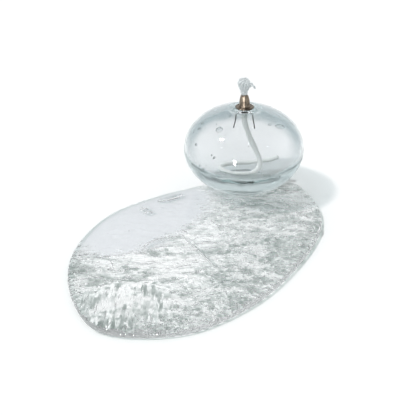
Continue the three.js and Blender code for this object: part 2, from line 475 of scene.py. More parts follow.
def scattered(name, carrier, small_shape, material, amount, sizes, spread, seed):
    """Strews a small shape over a carrier's faces and leaves it as one plain mesh."""
    tree = bpy.data.node_groups.new(name, "GeometryNodeTree")
    wanted = {
        "Carrier": ("NodeSocketGeometry", None), "Amount": ("NodeSocketFloat", amount),
        "Smallest": ("NodeSocketFloat", sizes[0]), "Largest": ("NodeSocketFloat", sizes[1]),
        "Spread": ("NodeSocketVector", (0, 0, spread)), "Seed": ("NodeSocketInt", seed),
        "Material": ("NodeSocketMaterial", material),
    }
    modifier = carrier.modifiers.new(name, "NODES")
    sockets = {}
    for label, (kind, _) in wanted.items():
        sockets[label] = tree.interface.new_socket(label, in_out="INPUT", socket_type=kind)
    tree.interface.new_socket("Strewn", in_out="OUTPUT", socket_type="NodeSocketGeometry")
    given = add_node(tree, "NodeGroupInput").outputs
    points = add_node(
        tree, "GeometryNodeDistributePointsOnFaces",
        links={"Mesh": given["Carrier"], "Density": given["Amount"], "Seed": given["Seed"]},
    )
    down = add_node(
        tree, "ShaderNodeVectorMath", settings={"operation": "SCALE"}, values={"Scale": -1.0},
        links={0: given["Spread"]},
    )
    stray = add_node(
        tree, "FunctionNodeRandomValue", settings={"data_type": "FLOAT_VECTOR"},
        links={0: down.outputs["Vector"], 1: given["Spread"], "Seed": given["Seed"]},
    )
    moved = add_node(
        tree, "GeometryNodeSetPosition",
        links={"Geometry": points.outputs["Points"], "Offset": stray.outputs[0]},
    )
    spin = add_node(
        tree, "FunctionNodeRandomValue", settings={"data_type": "FLOAT_VECTOR"},
        values={0: (-0.7, -0.7, 0), 1: (0.7, 0.7, 6.28)}, links={"Seed": given["Seed"]},
    )
    turned_round = add_node(
        tree, "FunctionNodeRotateRotation", settings={"rotation_space": "LOCAL"},
        links={"Rotation": points.outputs["Rotation"], "Rotate By": spin.outputs[0]},
    )
    size = add_node(
        tree, "FunctionNodeRandomValue", settings={"data_type": "FLOAT"},
        links={2: given["Smallest"], 3: given["Largest"], "Seed": given["Seed"]},
    )
    placed = add_node(
        tree, "GeometryNodeInstanceOnPoints",
        links={
            "Points": moved.outputs["Geometry"], "Instance": small_shape(tree),
            "Rotation": turned_round.outputs["Rotation"], "Scale": size.outputs[1],
        },
    )
    real = add_node(
        tree, "GeometryNodeRealizeInstances", links={"Geometry": placed.outputs["Instances"]},
    )
    smooth = add_node(
        tree, "GeometryNodeSetShadeSmooth", links={"Geometry": real.outputs["Geometry"]},
    )
    coated = add_node(
        tree, "GeometryNodeSetMaterial",
        links={"Geometry": smooth.outputs["Geometry"], "Material": given["Material"]},
    )
    add_node(tree, "NodeGroupOutput", links={"Strewn": coated.outputs["Geometry"]})
    modifier.node_group = tree
    for label, (_, value) in wanted.items():
        if value is not None:
            modifier[sockets[label].identifier] = value
    ready = carrier.evaluated_get(bpy.context.evaluated_depsgraph_get())
    mesh = bpy.data.meshes.new_from_object(ready)
    carrier.modifiers.remove(modifier)
    if not mesh.polygons:
        raise RuntimeError(name + " came out empty")
    return add_object(name, mesh)


def new_material(name):
    """A material with an empty tree, and the tree."""
    material = bpy.data.materials.new(name)
    material.use_nodes = True
    material.node_tree.nodes.clear()
    return material, material.node_tree


def finish_piece(piece, material, body, slot, *nodes, shadow=True):
    """Gives a piece its material, its body and the nodes it stands for; the slot argument is not used.
    """
    piece.visible_shadow = shadow
    piece.data.materials.clear()
    piece.data.materials.append(material)
    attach(piece, body)
    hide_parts(*nodes)


# ---------------------------------------------------------------------------------------------
# Materials
# ---------------------------------------------------------------------------------------------

def absorption(hex_colour):
    """Colour and density of the absorption that tints 10 mm of glass as given."""
    losses = [-math.log(channel) / (10 * MM) for channel in linear(hex_colour)[:3]]
    density = max(losses) * 1.25
    return (*(1 - loss / density for loss in losses), 1), density


def clear_glass(name, tint, skin_and_edge_shade, height, height_scale, passed_flat, passed_edge, edge_span):
    """Clear soda-lime glass, fire polished: sharp and bright, over a relief that bends the view.

    Light that passes it for the floor keeps the colour passed_flat(tree); less of it passes steep
    edges, which turn it aside. edge_span is the upright share of the normal from edge to flat.
    """
    material, tree = new_material(name)
    bump = add_node(
        tree, "ShaderNodeBump", values={"Strength": 1.0, "Distance": height_scale},
        links={"Height": height(tree)},
    )
    # Each passage through the skin takes a little light. Painted shade: the colour greys at a glancing
    # angle, most on the shoulder, where the glass is drawn thick, standing in for the darker room seen
    # through it.
    glancing = add_node(tree, "ShaderNodeLayerWeight", values={"Blend": 0.5}).outputs["Facing"]
    band = sum_of(tree, "MULTIPLY", ramp(tree, glancing, 0.3, 0.56),
                  ramp(tree, glancing, 0.66, 0.95, 1.0, 0.3))
    level = add_node(tree, "ShaderNodeSeparateXYZ", links={
        "Vector": add_node(tree, "ShaderNodeTexCoord").outputs["Object"],
    })
    shoulder = ramp(tree, level.outputs["Z"], 45 * MM, 66 * MM, 0.25, 1.0)
    skin = add_node(
        tree, "ShaderNodeMix", settings={"data_type": "RGBA"},
        values={"A": linear(skin_and_edge_shade[0]), "B": linear(skin_and_edge_shade[1])},
        links={"Factor": sum_of(tree, "MULTIPLY", band, shoulder)},
    )
    glass = add_node(
        tree, "ShaderNodeBsdfPrincipled",
        values={"Roughness": 0.0, "IOR": 1.5, "Transmission Weight": 1.0},
        links={"Base Color": skin.outputs["Result"], "Normal": bump.outputs["Normal"]},
    )
    shape = add_node(tree, "ShaderNodeNewGeometry")
    upright = add_node(
        tree, "ShaderNodeSeparateXYZ", links={"Vector": shape.outputs["True Normal"]},
    )
    slant = add_node(
        tree, "ShaderNodeMath", settings={"operation": "ABSOLUTE"},
        links={0: upright.outputs["Z"]},
    )
    flatness = add_node(
        tree, "ShaderNodeMapRange",
        values={"From Min": edge_span[0], "From Max": edge_span[1]},
        links={"Value": slant.outputs["Value"]},
    )
    passed = add_node(
        tree, "ShaderNodeMix", settings={"data_type": "RGBA"}, values={"A": linear(passed_edge)},
        links={"Factor": flatness.outputs["Result"], "B": passed_flat(tree)},
    )
    clear = add_node(
        tree, "ShaderNodeBsdfTransparent", links={"Color": passed.outputs["Result"]},
    )
    rays = add_node(tree, "ShaderNodeLightPath")
    bounced = add_node(
        tree, "ShaderNodeMixShader",
        links={"Fac": rays.outputs["Is Diffuse Ray"], 1: glass.outputs[0], 2: clear.outputs[0]},
    )
    shadow = add_node(
        tree, "ShaderNodeMixShader",
        links={"Fac": rays.outputs["Is Shadow Ray"], 1: bounced.outputs[0], 2: clear.outputs[0]},
    )
    colour, density = absorption(tint)
    volume = add_node(
        tree, "ShaderNodeVolumeAbsorption", values={"Color": colour, "Density": density},
    )
    add_node(
        tree, "ShaderNodeOutputMaterial",
        links={"Surface": shadow.outputs[0], "Volume": volume.outputs[0]},
    )
    return material


def blown_waves(tree):
    """The slow waves that blowing leaves, about 14 mm apart."""
    place = add_node(tree, "ShaderNodeTexCoord")
    waves = add_node(
        tree, "ShaderNodeTexNoise",
        values={"Scale": 1 / (14 * MM), "Detail": 1.5, "Roughness": 0.4},
        links={"Vector": place.outputs["Object"]},
    )
    return waves.outputs["Fac"]


def stretched_noise(tree, place, turn, width, length, detail, distortion=0.6):
    """Noise drawn out along one direction on the plate, 0 to 1."""
    drawn = add_node(
        tree, "ShaderNodeMapping", settings={"vector_type": "TEXTURE"},
        values={"Rotation": (0, 0, turn), "Scale": (width, length, width)},
        links={"Vector": place},
    )
    grain = add_node(
        tree, "ShaderNodeTexNoise",
        values={"Scale": 1.0, "Detail": detail, "Roughness": 0.55, "Distortion": distortion},
        links={"Vector": drawn.outputs["Vector"]},
    )
    return grain.outputs["Fac"]


def ramp(tree, value, low, high, at_low=0.0, at_high=1.0):
    """A number taken smoothly from one range to another."""
    node = add_node(
        tree, "ShaderNodeMapRange", settings={"interpolation_type": "SMOOTHSTEP"},
        values={"From Min": low, "From Max": high, "To Min": at_low, "To Max": at_high},
        links={"Value": value},
    )
    return node.outputs["Result"]


def sum_of(tree, operation, first, second):
    """Two numbers put together; either may be a socket or a value."""
    node = add_node(tree, "ShaderNodeMath", settings={"operation": operation})
    for index, term in enumerate((first, second)):
        if isinstance(term, (int, float)):
            node.inputs[index].default_value = term
        else:
            tree.links.new(term, node.inputs[index])
    return node.outputs["Value"]


def blended(tree, share, first, second):
    """One number mixed from two by a share."""
    node = add_node(tree, "ShaderNodeMix", links={"Factor": share, "A": first, "B": second})
    return node.outputs["Result"]


def zone(tree, place, centre, turn, widths, ragged):
    """1 inside an oval on the plate and 0 outside, with a ragged border."""
    oval = add_node(
        tree, "ShaderNodeMapping", settings={"vector_type": "TEXTURE"},
        values={
            "Location": (*centre, 0), "Rotation": (0, 0, turn), "Scale": (*widths, 1),
        },
        links={"Vector": place},
    )
    away = add_node(
        tree, "ShaderNodeVectorMath", settings={"operation": "LENGTH"},
        links={0: oval.outputs["Vector"]},
    )
    border = stretched_noise(tree, place, 0.6, 22 * MM, 12 * MM, 4.0)
    reach = sum_of(tree, "MULTIPLY", border, ragged)
    return ramp(tree, sum_of(tree, "ADD", away.outputs["Value"], reach), 0.85 + ragged / 2,
                1.1 + ragged / 2, 1.0, 0.0)


def plate_zones(tree, place):
    """The smooth side away from the light, the drawn end and the hammered sides."""
    smooth = zone(tree, place, (-0.061, 0.008), -0.1, (0.043, 0.084), 0.8)
    drawn = zone(tree, place, (0.008, -0.108), 0.55, (0.036, 0.03), 0.5)
    middle_part = zone(tree, place, (-0.012, -0.03), 0.2, (0.05, 0.062), 0.6)
    return smooth, drawn, middle_part


def plate_relief(tree):
    """The relief that the mould and the cooling left in the plate.

    Hammered at the sides, drawn out crosswise in the middle and lengthwise near the free end,
    and nearly flat along the side away from the light.
    """
    place = add_node(tree, "ShaderNodeTexCoord").outputs["Object"]
    smooth, drawn, middle_part = plate_zones(tree, place)
    turn = math.radians(34)
    hammered = stretched_noise(tree, place, turn, 10 * MM, 7.5 * MM, 2.0, 1.0)
    crosswise = stretched_noise(tree, place, turn, 30 * MM, 7.5 * MM, 2.5, 0.8)
    lengthwise = stretched_noise(tree, place, turn, 3.4 * MM, 22 * MM, 1.0, 0.2)
    relief = blended(tree, middle_part, hammered, crosswise)
    lengthwise = blended(tree, drawn, relief, lengthwise)
    calm = sum_of(tree, "MULTIPLY", crosswise, 0.12)
    return blended(tree, smooth, lengthwise, calm)


def plate_painted_caustics(tree):
    """Painted caustics: a pattern that gathers the light passing the plate into bright lines and
    spreads it into grey-green patches, standing in for what the relief would do.
    """
    place = add_node(tree, "ShaderNodeTexCoord").outputs["Object"]
    smooth, drawn, middle_part = plate_zones(tree, place)
    turn = math.radians(34)
    patches = stretched_noise(tree, place, turn, 40 * MM, 20 * MM, 4.0, 1.2)
    fine = stretched_noise(tree, place, turn, 11 * MM, 7 * MM, 3.0, 1.6)
    combed = stretched_noise(tree, place, turn, 3.4 * MM, 26 * MM, 2.0, 0.1)
    fine = blended(tree, drawn, fine, combed)
    # In the painted caustics the middle is paler than the sides, and the smooth side is an even pale
    # grey.
    ground = sum_of(tree, "ADD", patches, sum_of(tree, "MULTIPLY", fine, 0.55))
    ground = sum_of(tree, "SUBTRACT", ground, sum_of(tree, "MULTIPLY", middle_part, 0.07))
    dark = ramp(tree, ground, 0.7, 0.82)
    dark = blended(tree, smooth, dark, sum_of(tree, "MULTIPLY", dark, 0.1))
    fold = sum_of(tree, "ABSOLUTE", sum_of(tree, "SUBTRACT", fine, 0.5), 0.0)
    lines = ramp(tree, fold, 0.0, 0.06, 1.0, 0.0)
    loud = ramp(tree, patches, 0.36, 0.5)
    lines = sum_of(tree, "MULTIPLY", lines, loud)
    lines = blended(tree, smooth, lines, sum_of(tree, "MULTIPLY", lines, 0.06))
    pale = add_node(
        tree, "ShaderNodeMix", settings={"data_type": "RGBA"},
        values={"A": (0.975, 0.972, 0.972, 1), "B": linear("#aeb6b3")}, links={"Factor": dark},
    )
    quiet = add_node(
        tree, "ShaderNodeMix", settings={"data_type": "RGBA"},
        values={"B": linear("#f2f3f5")},
        links={"Factor": smooth, "A": pale.outputs["Result"]},
    )
    # Painted light: the bright lines pass more light than reaches the plate.
    bright = add_node(
        tree, "ShaderNodeMix", settings={"data_type": "RGBA"},
        values={"B": (1.25, 1.25, 1.25, 1)},
        links={"Factor": lines, "A": quiet.outputs["Result"]},
    )
    return bright.outputs["Result"]


def bowl_passed(tree):
    """The even pale grey of light that passes the blown wall."""
    tint = add_node(tree, "ShaderNodeRGB")
    tint.outputs[0].default_value = linear("#ebeded")
    return tint.outputs[0]


def spun_brass(finish):
    """Brass sheet spun on a lathe and aged in use.

    Turning lines run round it; brown tarnish lies in patches over the bright brass.
    """
    material, tree = new_material("Aged spun brass")
    place = add_node(tree, "ShaderNodeTexCoord")
    centred = add_node(
        tree, "ShaderNodeMapping", values={"Location": (-LAMP_X, -LAMP_Y, 0)},
        links={"Vector": place.outputs["Object"]},
    )
    # The real lines are 0.1 mm apart; they are drawn 0.6 mm apart so that they show.
    lines = add_node(
        tree, "ShaderNodeTexNoise",
        values={"Scale": 1 / (0.6 * MM), "Detail": 1.0},
        links={"Vector": add_node(
            tree, "ShaderNodeMapping", values={"Scale": (0.06, 0.06, 1)},
            links={"Vector": centred.outputs["Vector"]},
        ).outputs["Vector"]},
    )
    patches = add_node(
        tree, "ShaderNodeTexNoise",
        values={"Scale": 1 / (4 * MM), "Detail": 4.0, "Roughness": 0.6},
        links={"Vector": centred.outputs["Vector"]},
    )
    tarnish = add_node(
        tree, "ShaderNodeMapRange",
        values={"From Min": 0.42, "From Max": 0.68},
        links={"Value": patches.outputs["Fac"]},
    )
    colour = add_node(
        tree, "ShaderNodeMix", settings={"data_type": "RGBA"},
        values={"A": linear(finish.brass), "B": linear(finish.brass_tarnish)},
        links={"Factor": tarnish.outputs["Result"]},
    )
    rough = add_node(
        tree, "ShaderNodeMapRange",
        values={"To Min": 0.28, "To Max": 0.4},
        links={"Value": patches.outputs["Fac"]},
    )
    bump = add_node(
        tree, "ShaderNodeBump", values={"Strength": 0.5, "Distance": 0.05 * MM},
        links={"Height": lines.outputs["Fac"]},
    )
    around = add_node(
        tree, "ShaderNodeTangent", settings={"direction_type": "RADIAL", "axis": "Z"},
    )
    brass = add_node(
        tree, "ShaderNodeBsdfPrincipled", values={
            "Metallic": 1.0, "Anisotropic": 1.0, "Anisotropic Rotation": 0.25,
        },
        links={
            "Base Color": colour.outputs["Result"], "Roughness": rough.outputs["Result"],
            "Normal": bump.outputs["Normal"], "Tangent": around.outputs["Tangent"],
        },
    )
    add_node(tree, "ShaderNodeOutputMaterial", links={"Surface": brass.outputs[0]})
    return material


def drawn_steel(finish):
    """Spring steel, drawn and tempered: dark, with fine lines along it and a dull gleam."""
    material, tree = new_material("Drawn spring steel")
    place = add_node(tree, "ShaderNodeTexCoord")
    lines = add_node(
        tree, "ShaderNodeTexNoise",
        values={"Scale": 1 / (0.3 * MM), "Detail": 2.0},
        links={"Vector": add_node(
            tree, "ShaderNodeMapping", values={"Scale": (1, 1, 0.08)},
            links={"Vector": place.outputs["Object"]},
        ).outputs["Vector"]},
    )
    shade = add_node(
        tree, "ShaderNodeMix", settings={"data_type": "RGBA"},
        values={"A": linear(finish.steel), "B": linear("#2b2927")},
        links={"Factor": lines.outputs["Fac"]},
    )
    bump = add_node(
        tree, "ShaderNodeBump", values={"Strength": 0.4, "Distance": 0.03 * MM},
        links={"Height": lines.outputs["Fac"]},
    )
    rough = add_node(
        tree, "ShaderNodeMapRange", values={"To Min": 0.28, "To Max": 0.45},
        links={"Value": lines.outputs["Fac"]},
    )
    steel = add_node(
        tree, "ShaderNodeBsdfPrincipled", values={"Metallic": 1.0},
        links={
            "Base Color": shade.outputs["Result"], "Roughness": rough.outputs["Result"],
            "Normal": bump.outputs["Normal"],
        },
    )
    add_node(tree, "ShaderNodeOutputMaterial", links={"Surface": steel.outputs[0]})
    return material


def bleached_cotton(name, light, gaps):
    """Bleached cotton, spun and braided: matt white, with a soft fuzzy edge, fine yarns and painted
    shade in the gaps between them.
    """
    material, tree = new_material(name)
    place = add_node(tree, "ShaderNodeTexCoord")
    yarns = add_node(
        tree, "ShaderNodeTexNoise",
        values={"Scale": 1 / (0.35 * MM), "Detail": 3.0, "Roughness": 0.6},
        links={"Vector": place.outputs["Object"]},
    )
    # Painted shade: where the yarn noise sinks the bump between yarns, the colour turns to the darker
    # gaps colour.
    shade = add_node(
        tree, "ShaderNodeMix", settings={"data_type": "RGBA"},
        values={"A": linear(gaps), "B": linear(light)},
        links={"Factor": yarns.outputs["Fac"]},
    )
    bump = add_node(
        tree, "ShaderNodeBump", values={"Strength": 0.6, "Distance": 0.12 * MM},
        links={"Height": yarns.outputs["Fac"]},
    )
    cotton = add_node(
        tree, "ShaderNodeBsdfPrincipled",
        values={
            "Roughness": 0.95, "Specular IOR Level": 0.2, "Sheen Weight": 0.3,
            "Sheen Roughness": 0.5,
        },
        links={"Base Color": shade.outputs["Result"], "Normal": bump.outputs["Normal"]},
    )
    add_node(tree, "ShaderNodeOutputMaterial", links={"Surface": cotton.outputs[0]})
    return material


# ---------------------------------------------------------------------------------------------
# Plate
# ---------------------------------------------------------------------------------------------

def plate_outline(steps):
    """The plate's outline as its radius at even angles, from its solid's widest layer."""
    low = lowest("plate")
    high = highest("plate")
    corners = {}
    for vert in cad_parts["plate"].data.vertices:
        if mix(low, high, 0.4) < vert.co.z < mix(low, high, 0.6):
            key = (round(vert.co.x, 5), round(vert.co.y, 5))
            corners[key] = math.atan2(vert.co.y, vert.co.x)
    ordered = sorted(corners, key=corners.get)
    if len(ordered) < 12:
        raise RuntimeError("the plate's solid has no clear outline")
    line = curve_through([(x, y, 0) for x, y in ordered], 4 * steps, closed=True)
    polar = sorted((math.atan2(p.y, p.x), p.length) for p in line)
    polar.insert(0, (polar[-1][0] - 2 * math.pi, polar[-1][1]))
    polar.append((polar[1][0] + 2 * math.pi, polar[1][1]))
    radii = []
    at = 0
    for step in range(steps):
        angle = mix(-math.pi, math.pi, step / steps)
        while polar[at + 1][0] < angle:
            at += 1
        share = (angle - polar[at][0]) / max(polar[at + 1][0] - polar[at][0], 1e-9)
        radii.append(mix(polar[at][1], polar[at + 1][1], share))
    return radii


def plate_waves(x, y, width, seed):
    """Height of the plate's ripples, about -1 to 1: streaks that drift, with finer ones on them."""
    place = Vector((x, y, 0)) / width
    drift = noise.noise(place * 0.35 + Vector((seed, 4.1, 0)))
    streak = Vector((place.x * 0.75 + drift, place.y * 1.25 - drift, seed))
    wide = noise.noise(streak)
    fine = noise.noise(streak * 2.3 + Vector((7.7, 1.3, 0)))
    return wide + 0.45 * fine


class OILLAMP_OT_plate(bpy.types.Operator):
    """Build the pebble-shaped glass plate with its ripples and bubbles"""

    bl_idname = "oil_lamp.plate"
    bl_label = "Plate"

    def execute(self, context):
        plate = context.scene.oil_lamp_plate
        finish = context.scene.oil_lamp_finish
        sides = 320
        radii = plate_outline(sides)
        thickness = PLATE_TOP_Z - lowest("plate")
        middle_z = lowest("plate") + thickness / 2
        inner_share = 56
        rim_steps = 22

        def top_height(x, y, edge):
            wave = plate_waves(x, y, plate.ripple_width, 0.0) * smooth_step(0, 6 * MM, edge)
            droop = plate.rim_droop * (1 - smooth_step(0, 18 * MM, edge))
            return thickness / 2 + plate.ripple * (wave - 1) - droop

        def bottom_height(x, y, edge):
            wave = plate_waves(x, y, plate.ripple_width * 0.8, 9.0)
            lift = plate.underside_ripple * (0.5 + 0.5 * wave) * smooth_step(0, 8 * MM, edge)
            return -thickness / 2 + max(lift, 0)

        def ring_at(inset, height_at):
            ring = []
            for side, radius in enumerate(radii):
                angle = mix(-math.pi, math.pi, side / sides)
                reach = radius - inset(radius)
                x = reach * math.cos(angle)
                y = reach * math.sin(angle)
                edge = radius - reach
                ring.append(Vector((x, y, middle_z + height_at(x, y, edge))))
            return ring

        rings = []
        for step in range(inner_share):
            share = 1 - step / inner_share
            rings.append(ring_at(
                lambda radius: plate.rim_round + (radius - plate.rim_round) * share, top_height,
            ))
        for step in range(rim_steps + 1):
            angle = math.pi / 2 - math.pi * step / rim_steps
            depth = plate.rim_round * (1 - max(math.cos(angle), 0) ** 0.9)

            def rim_height(x, y, edge):
                upper = top_height(x, y, edge)
                lower = bottom_height(x, y, edge)
                return mix(lower, upper, 0.5 + 0.5 * math.sin(angle))

            rings.append(ring_at(lambda radius: depth, rim_height))
        for step in range(1, inner_share + 1):
            share = step / inner_share
            rings.append(ring_at(
                lambda radius: plate.rim_round + (radius - plate.rim_round) * share, bottom_height,
            ))
        slab = lofted("glass_plate", rings, "poles")
        glass = clear_glass(
            "Cast soda-lime glass, rippled", finish.plate_glass,
            (finish.plate_skin, finish.plate_skin), plate_relief,
            1.6 * MM,
            plate_painted_caustics, "#b4c2bf", (0.5, 0.95),
        )
        slab.data.materials.append(glass)
        self.bubbles(slab, middle_z)
        deep = self.air_lines(middle_z)
        heart = self.heart(radii, middle_z)
        strewn = scattered(
            "plate_seeds", heart, small_bubble, glass, plate.seeds, (0.25 * MM, 0.8 * MM),
            2.2 * MM, 5,
        )
        bpy.data.objects.remove(heart)
        slab = join("glass_plate_cast", [slab, *deep, strewn])
        finish_piece(slab, glass, "plate", "plate_glass", "plate")
        return {"FINISHED"}

    def bubbles(self, slab, height):
        """The large bubbles: a long one at the far edge and pairs of small ones."""
        hollows = []
        for x, y, half_length, half_width_, half_depth, turn in (
            (-61.5, 46.5, 13, 3.4, 2.6, 64), (-68, 16.5, 3.8, 2.2, 2.3, 20),
            (-61, 13.5, 3.8, 2.5, 2.4, 40), (-29, -78, 2.6, 2.2, 1.4, 20),
            (-10, -79, 2.8, 2.1, 1.4, 60), (-20, -70, 1.6, 1.3, 1, 0), (24, -60, 1.5, 1.2, 1, 0),
            (-27, 47, 1.5, 1.1, 0.9, 30), (44, 10, 1.7, 1.2, 1, 70), (58, -12, 1.3, 1, 0.8, 0),
        ):
            turn = math.radians(turn)
            hollows.append((
                Vector((x * MM, y * MM, height)),
                Vector((math.cos(turn), math.sin(turn), 0)) * half_length * MM,
                Vector((-math.sin(turn), math.cos(turn), 0)) * half_width_ * MM,
                Vector((0, 0, half_depth * MM)),
            ))
        add_bubbles(slab, hollows)

    def air_lines(self, height):
        """The thin drawn-out air lines in the plate's middle and the folds near its ends."""
        lines = []
        for route, width in (
            (((-25, -42), (-28.5, -32), (-26, -22), (-20, -13), (-10.5, -2)), 1.7),
            (((-9.5, -5), (-4, -8), (9, -13.5), (25, -22), (39, -29)), 1.1),
            (((-7.5, -3.5), (0, -5.5), (9, -10)), 0.45),
            (((-24, -36), (-18, -30), (-12, -22)), 0.35),
            (((45, 108), (53, 103), (60, 94)), 0.5),
            (((70, 80), (76, 76), (79, 66)), 0.55),
            (((74, 70), (77, 58), (82, 49)), 0.5),
            (((-46, -62), (-34, -70), (-22, -80)), 0.4),
            (((-52, -80), (-40, -79), (-33, -84)), 0.45),
            (((22, -113), (33, -118), (47, -112)), 0.5),
            (((30, -106), (38, -112), (40, -120)), 0.45),
        ):
            points = [(x * MM, y * MM, height + 1.4 * MM) for x, y in route]
            lines.append(air_line("air_line", points, width * MM, 40))
        return lines

    def heart(self, radii, height):
        """A flat sheet in the middle of the glass that the seeds are strewn on."""
        shape = bmesh.new()
        corners = []
        for side in range(0, len(radii), 4):
            angle = mix(-math.pi, math.pi, side / len(radii))
            reach = radii[side] - 6 * MM
            corners.append(shape.verts.new((reach * math.cos(angle), reach * math.sin(angle), height)))
        shape.faces.new(corners)
        mesh = bpy.data.meshes.new("plate_heart")
        shape.to_mesh(mesh)
        shape.free()
        return add_object("plate_heart", mesh)


# ---------------------------------------------------------------------------------------------
# Bowl
# ---------------------------------------------------------------------------------------------

def bowl_profile(bowl):
    """The bowl's section, from the middle of its foot, up the outside and down the inside."""
    radius = half_width("glass_bowl")
    lip_z = LIP_Z - FOOT_Z
    height_above = lip_z - bowl.height_below + bowl.neck_sink
    foot = bowl.foot_radius
    outer_depth = bowl.height_below / math.sqrt(1 - (foot / radius) ** 2)
    inner = radius - bowl.wall
    neck_foot = bowl.neck_bore + 0.6 * MM
    ceiling_rise = lip_z - bowl.height_below - bowl.neck_depth
    inner_depth_above = ceiling_rise / math.sqrt(1 - (neck_foot / inner) ** 2)
    lip_outer = bowl.neck_bore + bowl.neck_lip
    trough_z = lip_z + bowl.neck_sink - bowl.dimple
    fold = lip_outer + 7.4 * MM

    standing = [(0, 1.5 * MM), (foot * 0.5, 1.3 * MM), (foot * 0.8, 0.7 * MM), (foot * 0.9, 0)]
    standing = rounded(standing, 30)
    belly = arc(radius, -outer_depth, bowl.height_below, foot, radius, 52)[1:]
    shoulder = arc(radius, height_above, bowl.height_below, radius, fold, 46)[1:]
    lip = rounded([
        shoulder[-1],
        (fold - 1.8 * MM, shoulder[-1][1] + 0.15 * MM),
        (lip_outer + 2.6 * MM, trough_z),
        (lip_outer + 0.7 * MM, trough_z + 0.1 * MM),
        (lip_outer, lip_z - 0.7 * MM),
        (lip_outer - 0.7 * MM, lip_z),
        (bowl.neck_bore + 0.7 * MM, lip_z),
        (bowl.neck_bore, lip_z - 0.7 * MM),
        (bowl.neck_bore, lip_z - bowl.neck_depth * 0.55),
        (bowl.neck_bore + 0.05 * MM, lip_z - bowl.neck_depth + 0.8 * MM),
        (neck_foot, lip_z - bowl.neck_depth),
    ], 60)[1:]
    ceiling = arc(inner, inner_depth_above, bowl.height_below, neck_foot, inner, 50)[1:]
    basin = arc(inner, bowl.floor - bowl.height_below, bowl.height_below, inner, 0, 50)[1:]
    basin[-1] = (0, bowl.floor)
    return standing + [(foot, 0)] + belly + shoulder + lip + ceiling + basin


class OILLAMP_OT_bowl(bpy.types.Operator):
    """Build the hand-blown glass bowl with its bubbles"""

    bl_idname = "oil_lamp.bowl"
    bl_label = "Bowl"

    def execute(self, context):
        bowl = context.scene.oil_lamp_bowl
        finish = context.scene.oil_lamp_finish
        radius = half_width("glass_bowl")
        lip_z = LIP_Z - FOOT_Z

        def hand_blown(point):
            reach = point.xy.length
            height = point.z
            body = smooth_step(bowl.foot_radius * 0.8, radius * 0.75, reach)
            body = max(body, smooth_step(4 * MM, 14 * MM, height) * smooth_step(0, 10 * MM, reach))
            body *= 1 - smooth_step(lip_z - 8 * MM, lip_z - 4 * MM, height)
            slow = noise.noise(point / (26 * MM) + Vector((3.3, 0, 0)))
            quick = noise.noise(point / (9 * MM))
            out = point.normalized() * (slow + 0.35 * quick) * bowl.wobble * body
            return out

        shell = turned(
            "blown_shell", bowl_profile(bowl), 192, FOOT_Z, ends="poles", shift=hand_blown,
        )
        glass = clear_glass(
            "Hand-blown soda-lime glass", finish.bowl_glass,
            (finish.bowl_skin, finish.bowl_edge_shade), blown_waves,
            0.12 * MM,
            bowl_passed, "#f1f4f5", (0.12, 0.75),
        )
        shell.data.materials.append(glass)
        self.bubbles(shell, bowl)
        heart = self.heart(bowl)
        strewn = scattered(
            "bowl_seeds", heart, small_bubble, glass, bowl.seeds, (0.2 * MM, 0.45 * MM), 0.0, 3,
        )
        bpy.data.objects.remove(heart)
        shell = join("glass_bowl", [shell, strewn])
        finish_piece(shell, glass, "bowl", "bowl_glass", "glass_bowl")
        return {"FINISHED"}

    def bubbles(self, shell, bowl):
        """Bubbles in the wall, flattened as the bowl was blown out."""
        turn = bpy.context.scene.oil_lamp_holder.turn
        middle_radius = half_width("glass_bowl") - bowl.wall / 2
        rise = LIP_Z - FOOT_Z - bowl.height_below + bowl.neck_sink - bowl.wall / 2
        fall = bowl.height_below - bowl.floor / 2
        hollows = []
        for around, height, wide, tall, tilt in (
            (-130, 28.6, 3.2, 3.2, 0), (-33, 28.2, 5, 2.7, -28), (-161, 23.5, 2.6, 1.2, 30),
            (-149, 13.9, 1.5, 1.1, 0), (-125, 11.2, 0.9, 0.8, 0), (-122, 9.8, 1.5, 0.9, 50),
            (-138, -1.2, 1.1, 1, 0), (-133, -3.2, 1.6, 0.8, 40), (-56, -8.5, 1.8, 0.9, -30),
            (-166, 26.5, 1.7, 1, 30), (60, 12, 2.2, 1.7, 10), (105, 20, 1.8, 1.4, 0),
            (150, 5, 1.6, 1.1, 20), (20, 18, 1.3, 1, 0),
        ):
            angle = math.radians(around) + turn
            height *= MM
            depth = rise if height > 0 else fall
            lift = math.asin(height / depth)
            side = Vector((-math.sin(angle), math.cos(angle), 0))
            flat = Vector((math.cos(angle), math.sin(angle), 0))
            out = (flat * math.cos(lift) / middle_radius
                   + Vector((0, 0, math.sin(lift) / depth))).normalized()
            up = out.cross(side)
            tilt = math.radians(tilt)
            hollows.append((
                Vector((LAMP_X, LAMP_Y, FOOT_Z + bowl.height_below + height))
                + flat * middle_radius * math.cos(lift),
                (side * math.cos(tilt) + up * math.sin(tilt)) * wide * MM,
                (up * math.cos(tilt) - side * math.sin(tilt)) * tall * MM,
                out * 0.75 * MM,
            ))
        add_bubbles(shell, hollows)

    def heart(self, bowl):
        """A sheet in the middle of the wall that the seeds are strewn on."""
        middle_radius = half_width("glass_bowl") - bowl.wall / 2
        rise = LIP_Z - FOOT_Z - bowl.height_below + bowl.neck_sink - bowl.wall / 2
        upper = arc(middle_radius, rise, bowl.height_below, 22 * MM, middle_radius, 16)
        lower = arc(
            middle_radius, bowl.floor / 2 - bowl.height_below, bowl.height_below, middle_radius,
            20 * MM, 16,
        )
        return turned("bowl_heart", upper + lower[1:], 48, FOOT_Z, ends="open")


# ---------------------------------------------------------------------------------------------
# Wick holder
# ---------------------------------------------------------------------------------------------

